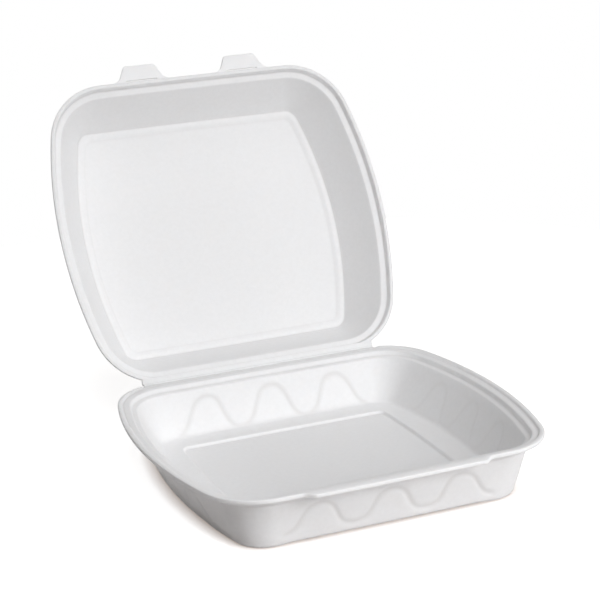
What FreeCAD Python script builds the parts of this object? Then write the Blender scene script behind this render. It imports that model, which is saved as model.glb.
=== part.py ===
import FreeCAD, Part
import math
import os
import Sketcher

# Foam clamshell container: a tray and a lid formed as one sheet of white foam.
# They fold about a pressed crease along the back. Millimetres, +X along the crease,
# +Y to the back, +Z up. The origin is the middle of the base, on the table.

SIZES = {
    # Plan of the tray's rim: four shallow arcs joined by rounded corners.
    "half_length": 120.0,
    "half_width": 106.5,
    "side_arc": 301.0,
    "front_arc": 8400.0,
    "rim_corner": 38.0,
    "foam": 2.6,
    # Tray rim, from its outer edge inwards: lip, seat for the lid, step, shelf.
    "tray_height": 37.5,
    "lip_width": 3.2,
    "lip_drop": 1.2,
    "riser_run": 0.4,
    "seat_width": 4.2,
    "seat_fall": 0.3,
    "step_drop": 2.9,
    "step_run": 1.1,
    "shelf_width": 3.0,
    "shelf_fall": 0.5,
    "underside_shift": 1.6,
    "wall_shift": 2.3,
    "lip_slope": 0.1,
    # Tray base, and the sunk pan in its floor.
    "base_inset_x": 20.5,
    "base_inset_y": 15.0,
    "base_corner": 21.0,
    "base_rounding": 3.5,
    "floor_rounding": 6.0,
    "pan_inset_x": 48.0,
    "pan_inset_y": 37.0,
    "pan_corner": 8.0,
    "pan_drop": 1.2,
    "pan_lean": 0.6,
    # Locking lip along the front of the tray.
    "catch_half_length": 54.0,
    "catch_reach": 4.8,
    "catch_run": 6.0,
    "catch_root": 1.4,
    # Waves pressed into both faces of the tray's front and back walls.
    "wave_width": 2.0,
    "wave_depth": 0.5,
    "wave_top": 25.0,
    "wave_bottom": 7.0,
    "wave_foot": 6.0,
    "crest_radius": 7.5,
    "valley_radius": 5.5,
    "wave_pitch": 45.0,
    # Crease between tray and lid, at the height of the seat.
    "hinge_half_length": 83.0,
    "hinge_reach": 0.5,
    "hinge_gap": 0.15,
    "hinge_flange": 1.7,
    "open_angle": 120.5,
    # Lid, with its depths measured from the face of its lip.
    "lid_foam": 1.9,
    "lid_corner": 38.5,
    "side_clearance": 0.4,
    "front_clearance": 2.4,
    "recess_clearance": 0.3,
    "lid_lip_width": 2.6,
    "rebate_depth": 4.2,
    "rebate_run": 0.7,
    "ridge_width": 2.2,
    "ridge_rise": 0.3,
    "lid_depth": 34.0,
    "panel_inset_x": 24.5,
    "panel_inset_y": 22.5,
    "panel_corner": 9.0,
    "panel_band": 5.5,
    "panel_band_rise": 1.4,
    "band_corner": 5.5,
    "rebate_shift": 1.6,
    "panel_shift": 1.3,
    # Tabs on the front of the lid, with the slit that takes the locking lip.
    "tab_centre": 36.4,
    "tab_base_half": 17.6,
    "tab_top_half": 10.5,
    "tab_reach": 11.5,
    "tab_root": 2.2,
    "tab_rounding": 2.0,
    "tab_foam": 1.5,
    "slit_half": 11.0,
    "slit_width": 1.1,
    "slit_offset": 0.3,
}

doc = FreeCAD.newDocument("foam_clamshell")
sheet = doc.addObject("Spreadsheet::Sheet", "sizes")
for row, (name, number) in enumerate(SIZES.items(), start=1):
    sheet.set("A%d" % row, name)
    sheet.set("B%d" % row, str(number))
    sheet.setAlias("B%d" % row, name)
doc.recompute()

# Each place on the sheet of foam is written as a sum of named sizes, such as
# "half_width - foam + 0.5*wave_width", and is both worked out and bound to the sheet.


def total(text):
    value = 0.0
    sign = 1.0
    for word in text.split():
        if word in "+-":
            sign = 1.0 if word == "+" else -1.0
        else:
            share, _, name = word.rpartition("*")
            value += sign * float(share or 1) * SIZES[name]
    return value


def bound(text):
    words = []
    for word in text.split():
        share, star, name = word.rpartition("*")
        words.append(word if word in "+-" else share + star + "sizes." + name)
    return " ".join(words)


def plus(*texts):
    words = []
    for text in texts:
        if text and words and text.split()[0] not in "+-":
            words.append("+")
        words += text.split()
    return " ".join(words)


def minus(text):
    turned = {"+": "-", "-": "+"}
    words = text.split()
    if words and words[0] not in turned:
        words.insert(0, "+")
    return " ".join(turned.get(word, word) for word in words)


def scaled(text, factor):
    words = []
    for word in text.split():
        share, _, name = word.rpartition("*")
        words.append(word if word in "+-" else "%.7f*%s" % (factor * float(share or 1), name))
    return " ".join(words)


# Tray rim in section, from the outer edge inwards: each place is an inset and a height.
SEAT_EDGE = "lip_width + riser_run"
SEAT_Z = "tray_height - lip_drop"
STEP_EDGE = plus(SEAT_EDGE, "seat_width")
STEP_Z = plus(SEAT_Z, "- seat_fall")
SHELF_EDGE = plus(STEP_EDGE, "step_run")
SHELF_Z = plus(STEP_Z, "- step_drop")
WALL_EDGE = plus(SHELF_EDGE, "shelf_width")
WALL_Z = plus(SHELF_Z, "- shelf_fall")

# The crease, seen from the origin.
HINGE_Y = "half_width + hinge_reach"
HINGE_Z = plus(SEAT_Z, "hinge_gap")

# Lid in plan. Its lip lies inside the tray's raised lip at the sides and the front, and
# at the back its edge is the rim's own edge, so its middle is nearer to the crease.
LID_EDGE_X = plus(SEAT_EDGE, "side_clearance")
LID_EDGE_Y = scaled(plus(SEAT_EDGE, "front_clearance"), 0.5)

# Lid in section, from its edge inwards and from the height of the crease.
LIP_Z = "hinge_gap"
REBATE_EDGE = "lid_lip_width"
RIDGE_EDGE = plus(REBATE_EDGE, "rebate_run")
RIDGE_Z = plus(LIP_Z, "rebate_depth")
COVER_EDGE = plus(RIDGE_EDGE, "ridge_width")
COVER_Z = plus(RIDGE_Z, "ridge_rise")
PANEL_Z = plus(LIP_Z, "lid_depth")

# A rounding under a sloping wall, in degrees from level.
ROUNDING_TURNS = (0, 45)


def new_body(label):
    body = doc.addObject("PartDesign::Body", label)
    body.Label = label
    return body


def origin_plane(body, role):
    for feature in body.Origin.OriginFeatures:
        if feature.Role == role:
            return feature
    raise ValueError("no plane " + role)


def level_sketch(body, name, level, shift=""):
    # A horizontal sketch at a height of its body. The lid's own origin is on the
    # crease, so its sketches are drawn about the middle of the box from there.
    sketch = body.newObject("Sketcher::SketchObject", name)
    sketch.AttachmentSupport = [(origin_plane(body, "XY_Plane"), "")]
    sketch.MapMode = "FlatFace"
    if body.Label == "lid":
        shift = plus(minus(HINGE_Y), shift)
    if level:
        sketch.setExpression("AttachmentOffset.Base.z", bound(level))
    if shift:
        sketch.setExpression("AttachmentOffset.Base.y", bound(shift))
    return sketch


def fix(sketch, kind, items, text):
    # A dimension of a sketch, tied to the sheet.
    index = sketch.addConstraint(Sketcher.Constraint(kind, *items, total(text)))
    sketch.setExpression("Constraints[%d]" % index, bound(text))


def corner_centre(side_x, side_radius, front_y, front_radius, corner):
    # The corner arc touches both side arcs from inside: its centre is where the two
    # arcs, drawn smaller by its radius, cross.
    reach_side = side_radius - corner
    reach_front = front_radius - corner
    span = math.hypot(side_x, front_y)
    along = (reach_side ** 2 - reach_front ** 2 + span ** 2) / (2 * span)
    across = math.sqrt(reach_side ** 2 - along ** 2)
    unit_x, unit_y = -side_x / span, front_y / span
    first = (side_x + along * unit_x - across * unit_y, along * unit_y + across * unit_x)
    second = (side_x + along * unit_x + across * unit_y, along * unit_y - across * unit_x)
    return max(first, second, key=lambda point: point[0] + point[1])


def barrel_sketch(body, name, section, shift=""):
    # The rim's plan moved inwards by its insets: four shallow arcs and four corners.
    level, inset_x, inset_y, corner = section
    sketch = level_sketch(body, name, level, shift)
    side = plus("side_arc", minus(inset_x))
    front = plus("front_arc", minus(inset_y))
    side_x = total("half_length - side_arc")
    front_y = total("half_width - front_arc")
    cx, cy = corner_centre(side_x, total(side), front_y, total(front), total(corner))
    turn = math.atan2(cy, cx - side_x)
    lean = math.atan2(cy - front_y, cx)
    arcs = [
        (side_x, 0, total(side), -turn, turn),
        (cx, cy, total(corner), turn, lean),
        (0, front_y, total(front), lean, math.pi - lean),
        (-cx, cy, total(corner), math.pi - lean, math.pi - turn),
        (-side_x, 0, total(side), math.pi - turn, math.pi + turn),
        (-cx, -cy, total(corner), math.pi + turn, math.pi + lean),
        (0, -front_y, total(front), math.pi + lean, 2 * math.pi - lean),
        (cx, -cy, total(corner), 2 * math.pi - lean, 2 * math.pi - turn),
    ]
    up = FreeCAD.Vector(0, 0, 1)
    for x, y, radius, start, end in arcs:
        circle = Part.Circle(FreeCAD.Vector(x, y, 0), up, radius)
        sketch.addGeometry(Part.ArcOfCircle(circle, start, end))
    for arc in range(8):
        sketch.addConstraint(Sketcher.Constraint("Tangent", arc, 2, (arc + 1) % 8, 1))
    for arc, twin in ((0, 4), (2, 6), (1, 3), (1, 5), (1, 7)):
        sketch.addConstraint(Sketcher.Constraint("Equal", arc, twin))
    for arc, axis in ((0, -1), (4, -1), (2, -2), (6, -2)):
        sketch.addConstraint(Sketcher.Constraint("PointOnObject", arc, 3, axis))
    fix(sketch, "Radius", (0,), side)
    fix(sketch, "Radius", (2,), front)
    fix(sketch, "Radius", (1,), corner)
    fix(sketch, "DistanceX", (0, 3, -1, 1), "side_arc - half_length")
    fix(sketch, "DistanceX", (-1, 1, 4, 3), "side_arc - half_length")
    fix(sketch, "DistanceY", (2, 3, -1, 1), "front_arc - half_width")
    fix(sketch, "DistanceY", (-1, 1, 6, 3), "front_arc - half_width")
    return sketch


def polygon_sketch(body, name, level, points):
    # A closed outline of straight lines, each corner held from the sketch's origin.
    sketch = level_sketch(body, name, level)
    places = [FreeCAD.Vector(total(x), total(y), 0) for x, y in points]
    count = len(places)
    for corner in range(count):
        sketch.addGeometry(Part.LineSegment(places[corner], places[(corner + 1) % count]))
    for corner in range(count):
        after = (corner + 1) % count
        sketch.addConstraint(Sketcher.Constraint("Coincident", corner, 2, after, 1))
    for corner, (x, y) in enumerate(points):
        fix(sketch, "DistanceX", (-1, 1, corner, 1), x)
        fix(sketch, "DistanceY", (-1, 1, corner, 1), y)
    return sketch


def loft(body, kind, name, sections, shift=""):
    # Straight surfaces from each section to the next.
    feature = body.newObject("PartDesign::" + kind, name)
    sketches = []
    for number, section in enumerate(sections, start=1):
        sketches.append(barrel_sketch(body, "%s_%d" % (name, number), section, shift))
    feature.Profile = sketches[0]
    feature.Sections = sketches[1:]
    feature.Ruled = True
    return feature


def pad(body, name, sketch, thickness):
    feature = body.newObject("PartDesign::Pad", name)
    feature.Profile = sketch
    feature.setExpression("Length", bound(thickness))
    return feature


def rim(inset, level):
    # A section of the tray's rim, parallel to its edge.
    return (level, inset, inset, plus("rim_corner", minus(inset)))


def lid_rim(inset, level):
    # A section of the lid's rim, parallel to its edge.
    return (
        level, plus(LID_EDGE_X, inset), plus(LID_EDGE_Y, inset),
        plus("lid_corner", minus(inset)),
    )


def halfway(lower, upper):
    return tuple(plus(scaled(a, 0.5), scaled(b, 0.5)) for a, b in zip(lower, upper))


def rounding(level, inset_x, inset_y, corner, radius):
    # Sections of a rounded edge where a wall meets something level.
    sections = []
    for turn in ROUNDING_TURNS:
        inward = scaled(radius, 1 - math.sin(math.radians(turn)))
        upward = scaled(radius, 1 - math.cos(math.radians(turn)))
        sections.append((
            plus(level, upward), plus(inset_x, inward), plus(inset_y, inward),
            plus(corner, minus(inward)),
        ))
    return sections


def outer_walls(depth):
    # Outer faces of the tray's base and walls, moved in by a depth.
    foot = rounding(
        "", plus("base_inset_x", depth), plus("base_inset_y", depth),
        plus("base_corner", minus(depth)), "base_rounding",
    )
    shoulder = rim(plus(WALL_EDGE, "- wall_shift", depth), plus(WALL_Z, "- wall_shift"))
    return foot + [shoulder]


def inner_walls(depth):
    # Inner faces of the tray's walls down to its floor, moved out by a depth.
    foot = rounding(
        "foam + pan_drop", plus("base_inset_x + foam", minus(depth)),
        plus("base_inset_y + foam", minus(depth)), plus("base_corner - foam", depth),
        "floor_rounding",
    )
    top = rim(plus(WALL_EDGE, minus(depth)), WALL_Z)
    return foot + [top]


def build_tray_form():
    # Outer form: rounded base, sloping walls, and the stepped flare of the rim.
    tray = new_body("tray_form")
    loft(tray, "AdditiveLoft", "outer_form", outer_walls("") + [
        rim(plus(SHELF_EDGE, "- underside_shift"), plus(SHELF_Z, "- foam")),
        rim(plus(STEP_EDGE, "- underside_shift"), plus(STEP_Z, "- foam")),
        rim(plus(SEAT_EDGE, "- underside_shift"), plus(SEAT_Z, "- foam")),
        rim("lip_width - underside_shift", "tray_height - foam"),
        rim("", "tray_height + lip_slope - foam"),
        rim("", "tray_height"),
    ])

    # Locking lip in the middle of the front, which the lid's tabs hook over.
    front = "- half_width - catch_reach"
    root = "catch_root - half_width"
    run = "catch_half_length + catch_run"
    outline = polygon_sketch(tray, "locking_plan", "tray_height - foam", [
        (minus(run), root),
        (minus("catch_half_length"), front),
        ("catch_half_length", front),
        (run, root),
    ])
    pad(tray, "locking_lip", outline, "foam")

    # Inside: walls down to the ledge, the steps of the rim, and the pan within the ledge.
    loft(tray, "SubtractiveLoft", "hollow", inner_walls("") + [
        rim(SHELF_EDGE, SHELF_Z),
        rim(STEP_EDGE, STEP_Z),
        rim(SEAT_EDGE, SEAT_Z),
        rim("lip_width", "tray_height"),
        rim("lip_width - riser_run", "tray_height + lip_drop"),
    ])

    loft(tray, "SubtractiveLoft", "pan", [
        ("foam", "pan_inset_x + pan_lean", "pan_inset_y + pan_lean", "pan_corner - pan_lean"),
        ("foam + pan_drop", "pan_inset_x", "pan_inset_y", "pan_corner"),
        (
            "foam + pan_drop + pan_drop", "pan_inset_x - pan_lean",
            "pan_inset_y - pan_lean", "pan_corner + pan_lean",
        ),
    ])

    # The raised lip gives way at the back to the lid's lip, which lies on the seat,
    # and to the straight flange beside the crease.
    recess = tray.newObject("PartDesign::Pocket", "lid_recess")
    recess.Profile = barrel_sketch(tray, "recess_plan", (
        SEAT_Z, plus(LID_EDGE_X, "- recess_clearance"),
        plus(LID_EDGE_Y, "- recess_clearance"), "lid_corner + recess_clearance",
    ), LID_EDGE_Y)
    recess.Reversed = True
    recess.setExpression("Length", bound("lip_drop + lip_drop"))
    back = plus(HINGE_Y, "- hinge_gap")
    inner = "half_width - lip_width"
    slot = "hinge_half_length + recess_clearance"
    cleared = tray.newObject("PartDesign::Pocket", "flange_recess")
    cleared.Profile = polygon_sketch(tray, "flange_recess_plan", SEAT_Z, [
        (minus(slot), inner),
        (slot, inner),
        (slot, HINGE_Y),
        (minus(slot), HINGE_Y),
    ])
    cleared.Reversed = True
    cleared.setExpression("Length", bound("lip_drop + lip_drop"))

    # Straight edge along the back, up to the crease.
    outline = polygon_sketch(tray, "hinge_plan", plus(SEAT_Z, "- foam"), [
        (minus("hinge_half_length"), inner),
        ("hinge_half_length", inner),
        ("hinge_half_length", back),
        (minus("hinge_half_length"), back),
    ])
    pad(tray, "hinge_edge", outline, "foam")
    return tray


def wave_path():
    # Three crests and two valleys in an upright plane, arcs joined by tangent lines.
    sketch = doc.addObject("Sketcher::SketchObject", "wave_path")
    upright = FreeCAD.Rotation(FreeCAD.Vector(1, 0, 0), 90)
    sketch.Placement = FreeCAD.Placement(FreeCAD.Vector(0, 0, 0), upright)
    crest, valley = total("crest_radius"), total("valley_radius")
    crest_z = "wave_top - crest_radius"
    valley_z = "wave_bottom + valley_radius"
    rise = total(crest_z) - total(valley_z)
    apart = 0.5 * total("wave_pitch")
    lean = math.atan2(rise, apart) + math.asin((crest + valley) / math.hypot(rise, apart))
    centres = [
        ("- wave_pitch", crest_z), ("- 0.5*wave_pitch", valley_z), ("", crest_z),
        ("0.5*wave_pitch", valley_z), ("wave_pitch", crest_z),
    ]
    up = FreeCAD.Vector(0, 0, 1)
    ends = []
    for number, (x, z) in enumerate(centres):
        crowned = number % 2 == 0
        middle = math.radians(90 if crowned else 270)
        radius = crest if crowned else valley
        place = FreeCAD.Vector(total(x), total(z), 0)
        arc = Part.ArcOfCircle(Part.Circle(place, up, radius), middle - lean, middle + lean)
        sketch.addGeometry(arc)
        points = [arc.StartPoint, arc.EndPoint]
        ends.append(points[::-1] if crowned else points)
    foot = total("wave_foot")
    run = (ends[0][0].y - foot) / math.tan(lean)
    sketch.addGeometry(Part.LineSegment(
        FreeCAD.Vector(ends[0][0].x - run, foot, 0), ends[0][0],
    ))
    for number in range(4):
        sketch.addGeometry(Part.LineSegment(ends[number][1], ends[number + 1][0]))
    sketch.addGeometry(Part.LineSegment(
        ends[4][1], FreeCAD.Vector(ends[4][1].x + run, foot, 0),
    ))
    for number in range(5):
        near, far = (2, 1) if number % 2 == 0 else (1, 2)
        sketch.addConstraint(Sketcher.Constraint("Tangent", 5 + number, 2, number, near))
        sketch.addConstraint(Sketcher.Constraint("Tangent", number, far, 6 + number, 1))
        x, z = centres[number]
        fix(sketch, "Radius", (number,), "valley_radius" if number % 2 else "crest_radius")
        fix(sketch, "DistanceY", (-1, 1, number, 3), z)
        if x:
            fix(sketch, "DistanceX", (-1, 1, number, 3), x)
        else:
            sketch.addConstraint(Sketcher.Constraint("PointOnObject", number, 3, -2))
    fix(sketch, "DistanceY", (-1, 1, 5, 1), "wave_foot")
    fix(sketch, "DistanceY", (-1, 1, 10, 2), "wave_foot")
    return sketch


def build_waves():
    # The path widened to the groove's width and drawn out through front and back walls.
    ribbon = doc.addObject("Part::Offset2D", "ribbon")
    ribbon.Source = wave_path()
    ribbon.setExpression("Value", bound("0.5*wave_width"))
    ribbon.Fill = True
    band = doc.addObject("Part::Extrusion", "band")
    band.Base = ribbon
    band.DirMode = "Normal"
    band.Solid = True
    band.Symmetric = True
    band.setExpression("LengthFwd", bound("half_width + half_width"))

    # The grooves: the band outside a core that lies under the outer faces of the walls,
    # and within a core that reaches in behind their inner faces.
    outer_core = new_body("outer_core")
    loft(outer_core, "AdditiveLoft", "core_out", outer_walls("wave_depth"))
    inner_core = new_body("inner_core")
    loft(inner_core, "AdditiveLoft", "core_in", inner_walls("wave_depth"))
    outside = doc.addObject("Part::Cut", "outer_waves")
    outside.Base = band
    outside.Tool = outer_core
    inside = doc.addObject("Part::Common", "inner_waves")
    inside.Base = band
    inside.Tool = inner_core
    waves = doc.addObject("Part::Compound", "waves")
    waves.Links = [outside, inside]
    return waves


def build_tray():
    form = build_tray_form()
    waves = build_waves()
    tray = doc.addObject("Part::Cut", "tray")
    tray.Base = form
    tray.Tool = waves
    tray.Label = "tray"
    return tray


def build_lid():
    # Drawn closed, about the crease. Outer form: lip, rebate, walls and top panel.
    lid = new_body("lid")
    side = plus(LID_EDGE_X, "panel_inset_x")
    front = plus(LID_EDGE_Y, "panel_inset_y")
    foot = lid_rim(plus(COVER_EDGE, "- wall_shift"), plus(COVER_Z, "lid_foam - lip_slope"))
    crown = (
        plus(PANEL_Z, "lid_foam - panel_band_rise"), plus(side, "- panel_shift"),
        plus(front, "- panel_shift"), "panel_corner + panel_shift",
    )
    loft(lid, "AdditiveLoft", "outer_form", [
        lid_rim("", LIP_Z),
        lid_rim("", plus(LIP_Z, "lid_foam")),
        lid_rim(plus(REBATE_EDGE, "- rebate_shift"), plus(LIP_Z, "lid_foam + lip_slope")),
        lid_rim(plus(RIDGE_EDGE, "- rebate_shift"), plus(RIDGE_Z, "lid_foam")),
        foot,
        halfway(foot, crown),
        crown,
        (
            plus(PANEL_Z, "lid_foam"), plus(side, "panel_band - panel_shift"),
            plus(front, "panel_band - panel_shift"), "band_corner + panel_shift",
        ),
    ], LID_EDGE_Y)

    # Flange from the back of the lip to the crease.
    back = plus(HINGE_Y, "- hinge_gap")
    inner = plus("half_width", minus(REBATE_EDGE))
    outline = polygon_sketch(lid, "flange_plan", LIP_Z, [
        (minus("hinge_half_length"), inner),
        ("hinge_half_length", inner),
        ("hinge_half_length", back),
        (minus("hinge_half_length"), back),
    ])
    pad(lid, "hinge_flange", outline, "hinge_flange")

    # Two tabs on the front, each with its slit, level with the top of the tray's lip.
    level = plus(LIP_Z, "lip_drop")
    edge = plus(minus("half_width"), LID_EDGE_Y, LID_EDGE_Y)
    tip = plus(edge, "- tab_reach")
    root = plus(edge, "tab_root")
    slit_near = plus(edge, "- slit_offset")
    slit_far = plus(slit_near, "- slit_width")
    for name, centre in (("left", "- tab_centre"), ("right", "tab_centre")):
        outline = polygon_sketch(lid, name + "_tab_plan", level, [
            (plus(centre, "- tab_base_half"), root),
            (plus(centre, "- tab_base_half"), edge),
            (plus(centre, "- tab_top_half"), tip),
            (plus(centre, "tab_top_half"), tip),
            (plus(centre, "tab_base_half"), edge),
            (plus(centre, "tab_base_half"), root),
        ])
        pad(lid, name + "_tab", outline, "tab_foam")
        cut = lid.newObject("PartDesign::Pocket", name + "_slit")
        cut.Profile = polygon_sketch(lid, name + "_slit_plan", level, [
            (plus(centre, "- slit_half"), slit_near),
            (plus(centre, "- slit_half"), slit_far),
            (plus(centre, "slit_half"), slit_far),
            (plus(centre, "slit_half"), slit_near),
        ])
        cut.Type = "ThroughAll"
        cut.Midplane = True

    # Inside: rebate, ridge, walls, and the panel with its sloping band.
    foot = lid_rim(COVER_EDGE, COVER_Z)
    crown = (plus(PANEL_Z, "- panel_band_rise"), side, front, "panel_corner")
    hollow = loft(lid, "SubtractiveLoft", "hollow", [
        lid_rim(REBATE_EDGE, plus(LIP_Z, "- lip_drop")),
        lid_rim(REBATE_EDGE, LIP_Z),
        lid_rim(RIDGE_EDGE, RIDGE_Z),
        foot,
        halfway(foot, crown),
        crown,
        (PANEL_Z, plus(side, "panel_band"), plus(front, "panel_band"), "band_corner"),
    ], LID_EDGE_Y)

    # Rounded ends of the tabs.
    doc.recompute()
    names = []
    for number, line in enumerate(hollow.Shape.Edges, start=1):
        middle = line.CenterOfMass
        at_tip = abs(middle.y - total(plus(tip, minus(HINGE_Y)))) < total("slit_offset")
        if at_tip and line.BoundBox.XLength < total("slit_offset"):
            names.append("Edge%d" % number)
    ends = lid.newObject("PartDesign::Fillet", "tab_ends")
    ends.Base = (hollow, names)
    ends.setExpression("Radius", bound("tab_rounding"))

    # The rest position is the open one of the photograph.
    lid.Placement = FreeCAD.Placement(
        FreeCAD.Vector(0, total(HINGE_Y), total(HINGE_Z)),
        FreeCAD.Rotation(FreeCAD.Vector(-1, 0, 0), SIZES["open_angle"]),
    )
    lid.setExpression("Placement.Base.y", bound(HINGE_Y))
    lid.setExpression("Placement.Base.z", bound(HINGE_Z))
    lid.setExpression("Placement.Rotation.Angle", "sizes.open_angle")
    return lid


def check(parts):
    # Stops on a feature that failed or a part that is not one sound solid.
    doc.recompute()
    for item in doc.Objects:
        if "Invalid" in item.State or "Error" in item.State:
            raise ValueError("failed: " + item.Name)
    for item in parts:
        shape = item.Shape
        if shape.isNull() or not shape.isValid() or len(shape.Solids) != 1:
            raise ValueError("not one sound solid: " + item.Label)


def export(parts):
    os.makedirs("parts", exist_ok=True)
    for item in parts:
        item.Shape.exportStep("parts/%s.step" % item.Label)
        print(item.Label, round(item.Shape.Volume), "mm3", item.Shape.BoundBox)


pieces = [build_tray(), build_lid()]
check(pieces)
export(pieces)
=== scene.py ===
import math

import bmesh
import bpy
import numpy as np
from mathutils import Matrix, Vector


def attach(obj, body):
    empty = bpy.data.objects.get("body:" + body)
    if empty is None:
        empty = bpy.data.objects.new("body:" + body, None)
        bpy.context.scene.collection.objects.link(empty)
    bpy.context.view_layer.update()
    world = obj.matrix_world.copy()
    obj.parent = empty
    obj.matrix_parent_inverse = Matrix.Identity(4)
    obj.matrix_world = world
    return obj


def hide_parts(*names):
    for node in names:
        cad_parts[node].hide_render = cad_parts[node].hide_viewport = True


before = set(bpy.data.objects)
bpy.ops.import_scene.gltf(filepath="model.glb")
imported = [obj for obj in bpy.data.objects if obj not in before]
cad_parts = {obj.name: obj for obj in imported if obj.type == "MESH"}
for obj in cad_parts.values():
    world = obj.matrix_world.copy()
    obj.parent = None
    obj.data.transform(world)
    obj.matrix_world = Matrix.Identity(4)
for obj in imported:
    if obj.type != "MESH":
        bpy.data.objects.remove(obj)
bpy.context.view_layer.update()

# Foam skin. The whole box is one sheet of white expanded polystyrene foam, about
# 2.5 mm thick: closed cells under a smooth pressed skin that shows them as faint
# clouds and shallow dimples.
foam = bpy.data.materials.new("foam")
foam.use_nodes = True
nodes = foam.node_tree.nodes
links = foam.node_tree.links
skin = nodes["Principled BSDF"]
skin.inputs["Roughness"].default_value = 0.5
skin.inputs["IOR"].default_value = 1.45
skin.inputs["Specular IOR Level"].default_value = 0.25
skin.inputs["Subsurface Weight"].default_value = 0.3
skin.inputs["Subsurface Radius"].default_value = (1.0, 0.93, 0.88)
skin.inputs["Subsurface Scale"].default_value = 0.002

place = nodes.new("ShaderNodeTexCoord")
cells = nodes.new("ShaderNodeTexVoronoi")
cells.feature = "SMOOTH_F1"
cells.inputs["Scale"].default_value = 700.0
links.new(place.outputs["Object"], cells.inputs["Vector"])
clouds = nodes.new("ShaderNodeTexNoise")
clouds.inputs["Scale"].default_value = 380.0
clouds.inputs["Detail"].default_value = 4.0
clouds.inputs["Roughness"].default_value = 0.6
links.new(place.outputs["Object"], clouds.inputs["Vector"])
tone = nodes.new("ShaderNodeValToRGB")
tone.color_ramp.elements[0].position = 0.32
tone.color_ramp.elements[0].color = (0.848, 0.848, 0.852, 1.0)
tone.color_ramp.elements[1].position = 0.68
tone.color_ramp.elements[1].color = (0.872, 0.872, 0.877, 1.0)
links.new(clouds.outputs["Fac"], tone.inputs["Fac"])

# Painted shade and painted light: the foam is painted a little greyer along the wave
# lines and in tight creases, and the tabs are painted whiter.
painted_crease_shade = nodes.new("ShaderNodeAttribute")
painted_crease_shade.attribute_name = "painted_crease_shade"
dense_samples_and_shade_mix = nodes.new("ShaderNodeMix")
dense_samples_and_shade_mix.data_type = "RGBA"
dense_samples_and_shade_mix.inputs["B"].default_value = (0.775, 0.77, 0.768, 1.0)
links.new(painted_crease_shade.outputs["Fac"], dense_samples_and_shade_mix.inputs["Factor"])
links.new(tone.outputs["Color"], dense_samples_and_shade_mix.inputs["A"])
painted_tab_light = nodes.new("ShaderNodeAttribute")
painted_tab_light.attribute_name = "painted_tab_light"
tab_light_mix = nodes.new("ShaderNodeMix")
tab_light_mix.data_type = "RGBA"
tab_light_mix.inputs["B"].default_value = (0.94, 0.94, 0.945, 1.0)
links.new(painted_tab_light.outputs["Fac"], tab_light_mix.inputs["Factor"])
links.new(dense_samples_and_shade_mix.outputs["Result"], tab_light_mix.inputs["A"])
links.new(tab_light_mix.outputs["Result"], skin.inputs["Base Color"])

dimples = nodes.new("ShaderNodeBump")
dimples.inputs["Strength"].default_value = 0.1
dimples.inputs["Distance"].default_value = 0.0002
links.new(cells.outputs["Distance"], dimples.inputs["Height"])
swells = nodes.new("ShaderNodeBump")
swells.inputs["Strength"].default_value = 0.08
swells.inputs["Distance"].default_value = 0.0006
links.new(clouds.outputs["Fac"], swells.inputs["Height"])
links.new(dimples.outputs["Normal"], swells.inputs["Normal"])
links.new(swells.outputs["Normal"], skin.inputs["Normal"])

# Tray. The lower half of the foam sheet, drawn down over a mould: a stepped rim,
# sloping walls with waves pressed into both faces, and a ledge round a sunk floor.
half_length, half_width = 120.0, 106.5
side_arc, front_arc, rim_corner = 301.0, 8400.0, 38.0
seat_level = 36.3
crease_y, crease_z = 107.0, 36.45


def barrel_plan(inset_x, inset_y, corner):
    # The plan of the rim moved in by its insets: four shallow arcs and four corners,
    # as points in the same order all the way from the floor to the rim.
    side, front = side_arc - inset_x, front_arc - inset_y
    side_x, front_y = half_length - side_arc, half_width - front_arc
    reach_side, reach_front = side - corner, front - corner
    span = math.hypot(side_x, front_y)
    along = (reach_side ** 2 - reach_front ** 2 + span ** 2) / (2 * span)
    across = math.sqrt(reach_side ** 2 - along ** 2)
    ux, uy = -side_x / span, front_y / span
    centres = [
        (side_x + along * ux - across * uy, along * uy + across * ux),
        (side_x + along * ux + across * uy, along * uy - across * ux),
    ]
    cx, cy = max(centres, key=lambda point: point[0] + point[1])
    turn = math.atan2(cy, cx - side_x)
    lean = math.atan2(cy - front_y, cx)
    arcs = [
        (side_x, 0, side, -turn, turn, 112), (cx, cy, corner, turn, lean, 28),
        (0, front_y, front, lean, math.pi - lean, 116),
        (-cx, cy, corner, math.pi - lean, math.pi - turn, 28),
        (-side_x, 0, side, math.pi - turn, math.pi + turn, 112),
        (-cx, -cy, corner, math.pi + turn, math.pi + lean, 28),
        (0, -front_y, front, math.pi + lean, 2 * math.pi - lean, 116),
        (cx, -cy, corner, 2 * math.pi - lean, 2 * math.pi - turn, 28),
    ]
    points = []
    for x, y, radius, start, end, count in arcs:
        angle = np.linspace(start, end, count, endpoint=False)
        points.append(np.stack((x + radius * np.cos(angle), y + radius * np.sin(angle)), 1))
    return np.concatenate(points)


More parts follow.
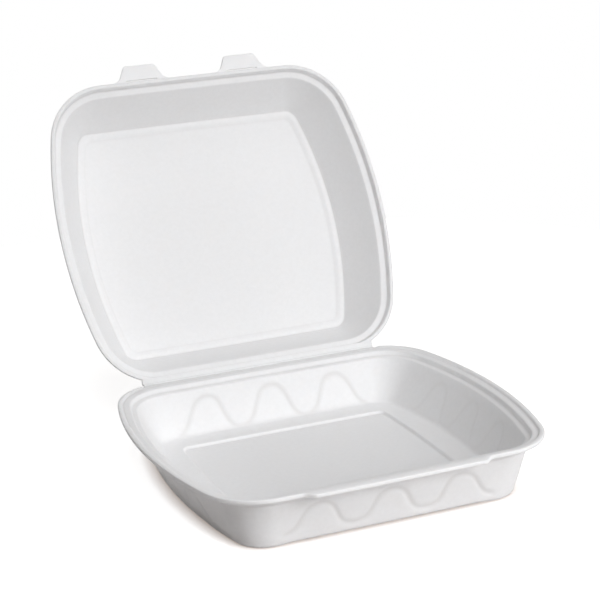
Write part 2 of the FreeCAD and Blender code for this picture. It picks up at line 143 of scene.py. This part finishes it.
def soft_section(corners, softness):
    # A section through the sheet as (level, inset x, inset y, corner radius), with its
    # edges softened as foam drawn over a mould is, and points closer at tight turns.
    corners = np.array(corners)
    steps = np.hypot(np.diff(corners[:, 0]), np.diff(0.5 * (corners[:, 1] + corners[:, 2])))
    reach = np.concatenate(([0.0], np.cumsum(steps)))
    fine = np.arange(0.0, reach[-1], 0.1)
    dense_samples_and_shade_mix = np.stack([np.interp(fine, reach, corners[:, k]) for k in range(4)], 1)
    spread = int(4 * softness / 0.1)
    weight = np.exp(-0.5 * (np.arange(-spread, spread + 1) * 0.1 / softness) ** 2)
    weight /= weight.sum()
    padded = np.concatenate((
        2 * dense_samples_and_shade_mix[0] - dense_samples_and_shade_mix[spread:0:-1], dense_samples_and_shade_mix, 2 * dense_samples_and_shade_mix[-1] - dense_samples_and_shade_mix[-2:-spread - 2:-1],
    ))
    smooth = np.stack([np.convolve(padded[:, k], weight, "valid") for k in range(4)], 1)
    path = np.stack((smooth[:, 0], 0.5 * (smooth[:, 1] + smooth[:, 2])), 1)
    heading = np.unwrap(np.arctan2(np.gradient(path[:, 0]), np.gradient(path[:, 1])))
    bend = np.abs(np.gradient(heading)) / 0.1
    pace = np.clip(0.28 / np.maximum(bend, 1e-6), 0.42, 1.25)
    picked, travelled = [0], 0.0
    for index in range(1, len(fine)):
        travelled += 0.1 / pace[index]
        if travelled >= 1.0:
            picked.append(index)
            travelled = 0.0
    picked[-1] = len(fine) - 1
    return smooth[picked]


def foam_piece(name, mesh):
    for face in mesh.polygons:
        face.use_smooth = True
    piece = bpy.data.objects.new(name, mesh)
    bpy.context.scene.collection.objects.link(piece)
    piece.data.materials.append(foam)
    return piece


def ring_mesh(name, rings, marks):
    # Rings of points joined into a closed skin, with a flat patch at either end. The
    # marks are painted shade for each point, darker along the wave lines and in tight creases.
    count = len(rings[0])
    first, last = rings[0], rings[-1]
    inner = [first.mean(0) + (first - first.mean(0)) * share for share in (0.25, 0.5, 0.75)]
    outer = [last.mean(0) + (last - last.mean(0)) * share for share in (0.75, 0.5, 0.25)]
    stack = inner + list(rings) + outer
    points = np.concatenate([first.mean(0)[None], *stack, last.mean(0)[None]])
    around = np.arange(count)
    after = (around + 1) % count
    faces = [(0, 1 + b, 1 + a) for a, b in zip(around, after)]
    for ring in range(len(stack) - 1):
        low, high = 1 + ring * count, 1 + (ring + 1) * count
        faces += [(low + a, low + b, high + b, high + a) for a, b in zip(around, after)]
    end = 1 + (len(stack) - 1) * count
    faces += [(end + a, end + b, len(points) - 1) for a, b in zip(around, after)]
    mesh = bpy.data.meshes.new(name)
    mesh.from_pydata((points * 0.001).tolist(), [], faces)
    no_painted_shade = np.zeros(1 + 3 * count)
    layer = mesh.attributes.new("painted_crease_shade", "FLOAT", "POINT")
    layer.data.foreach_set("value", np.concatenate((no_painted_shade, *marks, no_painted_shade)))
    return foam_piece(name, mesh)


def tight_corners(section, side):
    # How much painted shade each ring gets: most where the section turns tightly
    # towards the air, which lies to the left (side 1) or right (side -1) of its path.
    path = np.stack((-0.5 * (section[:, 1] + section[:, 2]), section[:, 0]), 1)
    run = np.diff(path, axis=0)
    heading = np.unwrap(np.arctan2(run[:, 1], run[:, 0]))
    reach = np.hypot(run[:, 0], run[:, 1])
    bend = side * np.diff(heading) / (0.5 * (reach[1:] + reach[:-1]))
    return np.pad(np.clip(0.8 * bend, 0.0, 1.0), 1)


def smooth_step(value, low, high):
    share = np.clip((value - low) / (high - low), 0.0, 1.0)
    return share * share * (3 - 2 * share)


def outline_distance(points, outline):
    # How far each point is outside a closed outline; negative inside it.
    ends = np.roll(outline, -1, 0)
    run = ends - outline
    out = np.empty(len(points))
    for index, point in enumerate(points):
        away = point - outline
        share = np.clip((away * run).sum(1) / (run ** 2).sum(1), 0, 1)
        gap = away - run * share[:, None]
        near = np.hypot(gap[:, 0], gap[:, 1])
        k = near.argmin()
        side = run[k, 0] * gap[k, 1] - run[k, 1] * gap[k, 0]
        out[index] = -near[k] if side > 0 else near[k]
    return out


def rounding(level, radius, inset_x, inset_y, corner, turns):
    # The rounded foot of a wall: a turn of 0 is flat on the floor, 90 is on the wall.
    points = []
    for turn in turns:
        inward = radius * (1 - math.sin(math.radians(turn)))
        rise = radius * (1 - math.cos(math.radians(turn)))
        points.append((level + rise, inset_x + inward, inset_y + inward, corner - inward))
    return points


# Sections are lists of (level, inset x, inset y, corner radius) in millimetres.
tray_inside = [
    (2.6, 54.0, 43.0, 4.0), (2.6, 47.0, 38.0, 5.0),
    (4.4, 46.0, 37.0, 6.0), (4.5, 30.0, 23.0, 12.5),
] + rounding(4.5, 3.0, 27.0, 20.0, 15.5, (15, 30, 45, 60, 75))
tray_rim = [
    (32.6, 11.9, 11.9, 26.1), (33.1, 8.9, 8.9, 29.1), (36.0, 7.8, 7.8, 30.2),
    (36.3, 3.6, 3.6, 34.4), (37.5, 3.2, 3.2, 34.8), (37.5, 0.0, 0.0, 38.0),
    (34.9, 0.0, 0.0, 38.0), (34.9, 1.6, 1.6, 36.4), (33.7, 2.0, 2.0, 36.0),
    (33.4, 6.2, 6.2, 31.8), (30.5, 7.3, 7.3, 30.7), (30.3, 9.6, 9.6, 28.4),
]
tray_outside = rounding(0.0, 3.5, 20.5, 15.0, 21.0, (90, 75, 60, 45, 30, 15, 0))
tray_outside.append((0.0, 30.0, 24.5, 14.0))
edge_softness = 0.42
section = soft_section(tray_inside + tray_rim + tray_outside, edge_softness)
lip_index = int(section[:, 0].argmax())

# The lid's plan is 3 mm nearer the crease than the tray's, to leave room at the front.
lid_shift = 3.0
recess = barrel_plan(3.7, 2.7, 42.3) + np.array((0.0, lid_shift))
flange_half = 83.0
wave_width, wave_depth = 1.35, 0.85
lip_drawn, raised_lip, foot_height = 4.6, 1.2, 0.8
# Painted shade in the tight creases of the tray's section.
crease_shade = tight_corners(section, 1)
rings, marks = [], []
for index, (level, inset_x, inset_y, corner) in enumerate(section):
    plan = barrel_plan(inset_x, inset_y, corner)
    after, before = np.roll(plan, -1, 0), np.roll(plan, 1, 0)
    run = after - before
    run /= np.hypot(run[:, 0], run[:, 1])[:, None]
    outward = np.stack((run[:, 1], -run[:, 0]), 1)
    x, y = plan[:, 0], plan[:, 1]
    height = np.full(len(plan), level)

    # Lower down, the long sides of the plan are straighter and its corners squarer.
    if index < lip_index:
        square = 3.0 * smooth_step(inset_x, 11.9, 24.0) + 5.0 * smooth_step(inset_x, 30.0, 45.0)
    else:
        square = 3.0 * smooth_step(inset_x, 9.6, 20.5)
    push = square * (y / (half_width - inset_y)) ** 2 * x / (half_length - inset_x)
    plan = plan + np.stack((push, np.zeros(len(plan))), 1)

    # Waves: three crests on each wall, pressed in from both faces.
    mark = np.full(len(plan), crease_shade[index])
    if 4.5 < level < 31.0 and inset_x > 9.0:
        low, high = (7.0, 24.5) if index > lip_index else (5.0, 27.0)
        for facing, along, pitch, force in (
            (smooth_step(np.abs(outward[:, 1]), 0.9, 0.97), x, 45.0, 1.0),
            (smooth_step(np.abs(outward[:, 0]), 0.9, 0.97), y, 40.0, 0.35),
        ):
            middle, swing = 0.5 * (high + low), 0.5 * (high - low)
            cycle = 2 * math.pi * along / pitch
            flank = 1 - 0.62 * np.sin(cycle) ** 2
            line = middle + swing * np.cos(cycle) / np.sqrt(flank)
            slope = swing * 2 * math.pi / pitch * 0.38 * np.sin(cycle) / flank ** 1.5
            away = np.abs(level - line) / np.hypot(1.0, slope)
            reach = 1 - smooth_step(np.abs(along), 1.42 * pitch, 1.52 * pitch)
            groove_and_shade = force * np.exp(-(away / wave_width) ** 2) * facing * reach
            groove_and_shade *= smooth_step(level, 4.5, 6.5)
            # Each wave groove is also painted a darker grey: painted shade along the line.
            mark += groove_and_shade
            groove_and_shade *= -wave_depth if index > lip_index else wave_depth
            plan = plan + outward * groove_and_shade[:, None]
    marks.append(np.clip(mark, 0.0, 1.0))

    # Locking lip: the lip is drawn out along the middle of the front.
    if index > lip_index - 12 and level > 33.6:
        edge = 1 - smooth_step(np.full(len(plan), inset_x), 0.2, 3.0)
        drawn = 1 - smooth_step(np.abs(x), 53.0, 60.5)
        plan = plan - np.stack((np.zeros(len(plan)), lip_drawn * drawn * edge * (y < 0)), 1)

    # Along the crease the raised lip gives way to the lid's lip and flange on the seat.
    if level > seat_level - 0.05:
        back = np.where(y > 40.0)[0]
        beside = np.abs(x[back]) - flange_half - 0.6
        clear = np.minimum(outline_distance(plan[back], recess), beside)
        top = seat_level + raised_lip * smooth_step(clear, 0.0, 0.9)
        height[back] = np.minimum(height[back], top)

    # Feet: the base is a little higher between its corners.
    if index > lip_index and level < 3.6:
        arch = np.zeros(len(plan))
        for along, across, start, end in ((x, 1, 56.0, 68.0), (y, 0, 40.0, 52.0)):
            facing = smooth_step(np.abs(outward[:, across]), 0.9, 0.98)
            arch += (1 - smooth_step(np.abs(along), start, end)) * facing
        height += foot_height * arch * (1 - level / 3.6)
    rings.append(np.column_stack((plan, height)))
tray = ring_mesh("tray_foam", rings, marks)
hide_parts("tray")
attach(tray, "tray")

# Lid. The other half of the same sheet: a flat lip that sits in the tray's rim, a
# small rebate, sloping walls and a flat panel with a sloping band round it.
lid_inside = [
    (34.15, 40.0, 37.0, 5.0), (34.15, 34.2, 31.2, 5.5), (33.1, 32.4, 29.4, 6.6),
    (32.7, 30.4, 27.4, 8.0), (33.0, 28.6, 25.6, 9.0),
]
lid_rim = [
    (4.75, 11.6, 10.6, 34.4), (4.35, 7.3, 6.3, 38.7), (0.15, 6.6, 5.6, 39.4),
    (0.15, 4.0, 3.0, 42.0), (2.05, 4.0, 3.0, 42.0), (2.15, 5.0, 4.0, 41.0),
    (6.25, 5.7, 4.7, 40.3), (6.5, 9.3, 8.3, 36.7),
]
lid_outside = [(34.65, 27.2, 24.2, 10.3), (36.05, 32.7, 29.7, 6.8), (36.05, 38.0, 35.0, 6.0)]
section = soft_section(lid_inside + lid_rim + lid_outside, edge_softness)
rings, marks = [], []
# Each lid ring gets painted shade where its section turns tightly.
for ring_crease_shade, (level, inset_x, inset_y, corner) in zip(tight_corners(section, -1), section):
    plan = barrel_plan(inset_x, inset_y, corner) + np.array((0.0, lid_shift - crease_y))
    rings.append(np.column_stack((plan, np.full(len(plan), level))))
    marks.append(np.full(len(plan), ring_crease_shade))
lid = ring_mesh("lid_foam", rings, marks)
open_angle = math.radians(120.5)
opened = Matrix.Translation((0.0, crease_y * 0.001, crease_z * 0.001)) @ Matrix.Rotation(
    open_angle, 4, Vector((-1.0, 0.0, 0.0)),
)
lid.data.transform(opened)
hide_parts("lid")
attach(lid, "lid")

# Flanges and crease. Along the back the sheet runs straight for 166 mm on both sides
# of a pressed line, where it is squeezed thin enough to fold.
def soft_bar(name, low, high, softness):
    box = bmesh.new()
    bmesh.ops.create_cube(box, size=1.0)
    for vertex in box.verts:
        vertex.co = Vector([
            (a + b) / 2 + share * (b - a) for a, b, share in zip(low, high, vertex.co)
        ]) * 0.001
    bmesh.ops.bevel(
        box, geom=box.edges[:], offset=softness * 0.001, segments=4, affect="EDGES", profile=0.5,
    )
    mesh = bpy.data.meshes.new(name)
    box.to_mesh(mesh)
    box.free()
    piece = foam_piece(name, mesh)
    return piece


# The tray's flange stays just under the seat, so that no two skins share a plane.
tray_flange = soft_bar(
    "tray_flange", (-flange_half, 102.5, 33.75), (flange_half, 106.85, 36.18), 0.45,
)
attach(tray_flange, "tray")
lid_flange = soft_bar("lid_flange", (-flange_half, -4.2, 0.15), (flange_half, -0.15, 1.85), 0.45)
lid_flange.data.transform(opened)
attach(lid_flange, "lid")
crease = soft_bar("crease", (-82.6, 106.25, 35.7), (82.6, 107.75, 37.2), 0.72)
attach(crease, "tray")

# Tabs. Two tongues on the lid's front lip, each with a slit across its root that
# snaps over the tray's locking lip. Painted light makes them a little whiter than the rest.
for side, centre in (("left", -36.4), ("right", 36.4)):
    edge = lid_shift - 103.5 - crease_y
    half = [
        (19.6, edge + 2.4), (19.6, edge - 0.2), (17.4, edge - 0.9), (15.6, edge - 2.3),
        (14.2, edge - 4.6), (11.9, edge - 9.4), (11.0, edge - 10.8), (9.6, edge - 11.4),
    ]
    outline = [(-px, py) for px, py in half] + half[::-1]
    slit = [(-11.0, edge - 0.4), (-11.0, edge - 1.2), (11.0, edge - 1.2), (11.0, edge - 0.4)]
    form = bmesh.new()
    for loop in (outline, slit):
        corners = [form.verts.new((centre + px, py, 1.35)) for px, py in loop]
        for a, b in zip(corners, corners[1:] + corners[:1]):
            form.edges.new((a, b))
    bmesh.ops.triangle_fill(form, edges=form.edges[:], use_beauty=True, use_dissolve=True)
    bmesh.ops.recalc_face_normals(form, faces=form.faces[:])
    raised = bmesh.ops.extrude_face_region(form, geom=form.faces[:])
    for item in raised["geom"]:
        if isinstance(item, bmesh.types.BMVert):
            item.co.z += 2.0
    bmesh.ops.recalc_face_normals(form, faces=form.faces[:])
    rounded = [
        line for line in form.edges
        if len(line.link_faces) == 2 and line.calc_face_angle(0.0) > 0.9
    ]
    bmesh.ops.bevel(form, geom=rounded, offset=0.38, segments=3, affect="EDGES", profile=0.5)
    bmesh.ops.scale(form, vec=(0.001, 0.001, 0.001), verts=form.verts[:])
    mesh = bpy.data.meshes.new(side + "_tab")
    form.to_mesh(mesh)
    form.free()
    tab = foam_piece(side + "_tab", mesh)
    mesh.set_sharp_from_angle(angle=math.radians(50))
    # Painted light: every point of a tab is painted whiter.
    layer = mesh.attributes.new("painted_tab_light", "FLOAT", "POINT")
    layer.data.foreach_set("value", [1.0] * len(mesh.vertices))
    tab.data.transform(opened)
    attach(tab, "lid")

# Floor. A plain sheet of paper under the box. The camera and shiny things see it
# white, with the real shadow faint under the glow and a painted contact shadow: a narrow dark
# line where the tray meets it.
def white_rays(nodes, links):
    # 1 for the rays that see the background white, 0 for those that light the foam.
    rays = nodes.new("ShaderNodeLightPath")
    level = rays.outputs["Is Camera Ray"]
    for kind in ("Is Glossy Ray", "Is Transmission Ray"):
        either = nodes.new("ShaderNodeMath")
        either.operation = "MAXIMUM"
        links.new(level, either.inputs[0])
        links.new(rays.outputs[kind], either.inputs[1])
        level = either.outputs["Value"]
    return level


floor_radius, floor_middle = 0.55, 0.06
floor_mesh = bpy.data.meshes.new("floor")
rim = [math.radians(3 * step) for step in range(120)]
floor_mesh.from_pydata(
    [(floor_radius * math.cos(a), floor_middle + floor_radius * math.sin(a), 0.0) for a in rim],
    [], [tuple(range(len(rim)))],
)
floor = bpy.data.objects.new("floor", floor_mesh)
bpy.context.scene.collection.objects.link(floor)
paper = bpy.data.materials.new("paper")
paper.use_nodes = True
paper_nodes, paper_links = paper.node_tree.nodes, paper.node_tree.links
paper_skin = paper_nodes["Principled BSDF"]
paper_skin.inputs["Base Color"].default_value = (0.66, 0.64, 0.63, 1.0)
paper_skin.inputs["Roughness"].default_value = 1.0
paper_skin.inputs["Specular IOR Level"].default_value = 0.0
glow = paper_nodes.new("ShaderNodeEmission")
glow.inputs["Strength"].default_value = 0.86
# Painted contact shadow: the glow darkens to warm brown where ambient occlusion finds the tray
# close by.
contact_occlusion = paper_nodes.new("ShaderNodeAmbientOcclusion")
contact_occlusion.samples = 16
contact_occlusion.inputs["Distance"].default_value = 0.009
painted_contact_shadow = paper_nodes.new("ShaderNodeValToRGB")
painted_contact_shadow.color_ramp.elements[0].position = 0.3
painted_contact_shadow.color_ramp.elements[0].color = (0.42, 0.37, 0.34, 1.0)
painted_contact_shadow.color_ramp.elements[1].position = 0.95
painted_contact_shadow.color_ramp.elements[1].color = (1.0, 1.0, 1.0, 1.0)
paper_links.new(contact_occlusion.outputs["AO"], painted_contact_shadow.inputs["Fac"])
paper_links.new(painted_contact_shadow.outputs["Color"], glow.inputs["Color"])
lifted = paper_nodes.new("ShaderNodeAddShader")
choice = paper_nodes.new("ShaderNodeMixShader")
paper_links.new(paper_skin.outputs["BSDF"], lifted.inputs[0])
paper_links.new(glow.outputs["Emission"], lifted.inputs[1])
paper_links.new(white_rays(paper_nodes, paper_links), choice.inputs["Fac"])
paper_links.new(paper_skin.outputs["BSDF"], choice.inputs[1])
paper_links.new(lifted.outputs["Shader"], choice.inputs[2])
paper_links.new(choice.outputs["Shader"], paper_nodes["Material Output"].inputs["Surface"])
floor.data.materials.append(paper)

# Surround. A dim warm room that fills the shadows a little. The camera and shiny
# things see it white.
world = bpy.data.worlds.new("surround")
bpy.context.scene.world = world
world.use_nodes = True
world_nodes, world_links = world.node_tree.nodes, world.node_tree.links
sky = world_nodes["Background"]
sky.inputs["Color"].default_value = (1.0, 0.88, 0.8, 1.0)
sky.inputs["Strength"].default_value = 0.06
white = world_nodes.new("ShaderNodeBackground")
white.inputs["Color"].default_value = (1.0, 1.0, 1.0, 1.0)
white.inputs["Strength"].default_value = 1.0
pick = world_nodes.new("ShaderNodeMixShader")
world_links.new(white_rays(world_nodes, world_links), pick.inputs["Fac"])
world_links.new(sky.outputs["Background"], pick.inputs[1])
world_links.new(white.outputs["Background"], pick.inputs[2])
world_links.new(pick.outputs["Shader"], world_nodes["World Output"].inputs["Surface"])

# Studio lamps. Four large soft panels: two low ones at the front right, one of them
# close, one high at the front left and one overhead. A weak one behind lifts the lid's
# back. Each has its angles to the side and up, its distance and its power.
for name, side_angle, height_angle, distance, watts in (
    ("front_right", 20.0, 25.0, 1.1, 6.3), ("right", 60.0, 25.0, 2.2, 5.3),
    ("front_left", -20.0, 55.0, 2.2, 12.8), ("overhead", 0.0, 85.0, 2.2, 7.3),
    ("behind", -160.0, 14.0, 2.2, 6.0),
):
    lamp_data = bpy.data.lights.new(name, "AREA")
    lamp_data.shape = "DISK"
    lamp_data.size = 0.45 * distance
    lamp_data.energy = watts
    lamp_data.color = (0.985, 0.99, 1.0)
    lamp = bpy.data.objects.new(name, lamp_data)
    bpy.context.scene.collection.objects.link(lamp)
    across, climb = math.radians(side_angle), math.radians(height_angle)
    lamp.location = distance * Vector((
        math.sin(across) * math.cos(climb), -math.cos(across) * math.cos(climb), math.sin(climb),
    ))
    aim = Vector((0.0, 0.05, 0.05)) - lamp.location
    lamp.rotation_euler = aim.to_track_quat("-Z", "Y").to_euler()

# Camera. The photograph's view: from the front and a little to the left, 20 degrees up.
camera_data = bpy.data.cameras.new("camera")
camera_data.sensor_width = 36.0
image_size = 600.0
camera_data.lens = 1868.095 * 36.0 / image_size
camera_data.shift_x = (300.0 - 324.205) / image_size
camera_data.shift_y = (380.855 - 300.0) / image_size
camera_data.clip_end = 50.0
camera = bpy.data.objects.new("camera", camera_data)
bpy.context.scene.collection.objects.link(camera)
bpy.context.scene.camera = camera
azimuth, elevation, roll = math.radians(23.103), math.radians(20.057), math.radians(-1.798)
gaze = Vector((
    math.sin(azimuth) * math.cos(elevation),
    math.cos(azimuth) * math.cos(elevation),
    -math.sin(elevation),
))
level_right = Vector((math.cos(azimuth), -math.sin(azimuth), 0.0))
level_up = level_right.cross(gaze)
right = level_right * math.cos(roll) + level_up * math.sin(roll)
up = level_up * math.cos(roll) - level_right * math.sin(roll)
stance = Matrix((right, up, -gaze)).transposed().to_4x4()
camera.matrix_world = Matrix.Translation(Vector((0.0, 0.0, 0.06)) - gaze * 1.151034) @ stance

bpy.context.scene.view_settings.view_transform = "Standard"
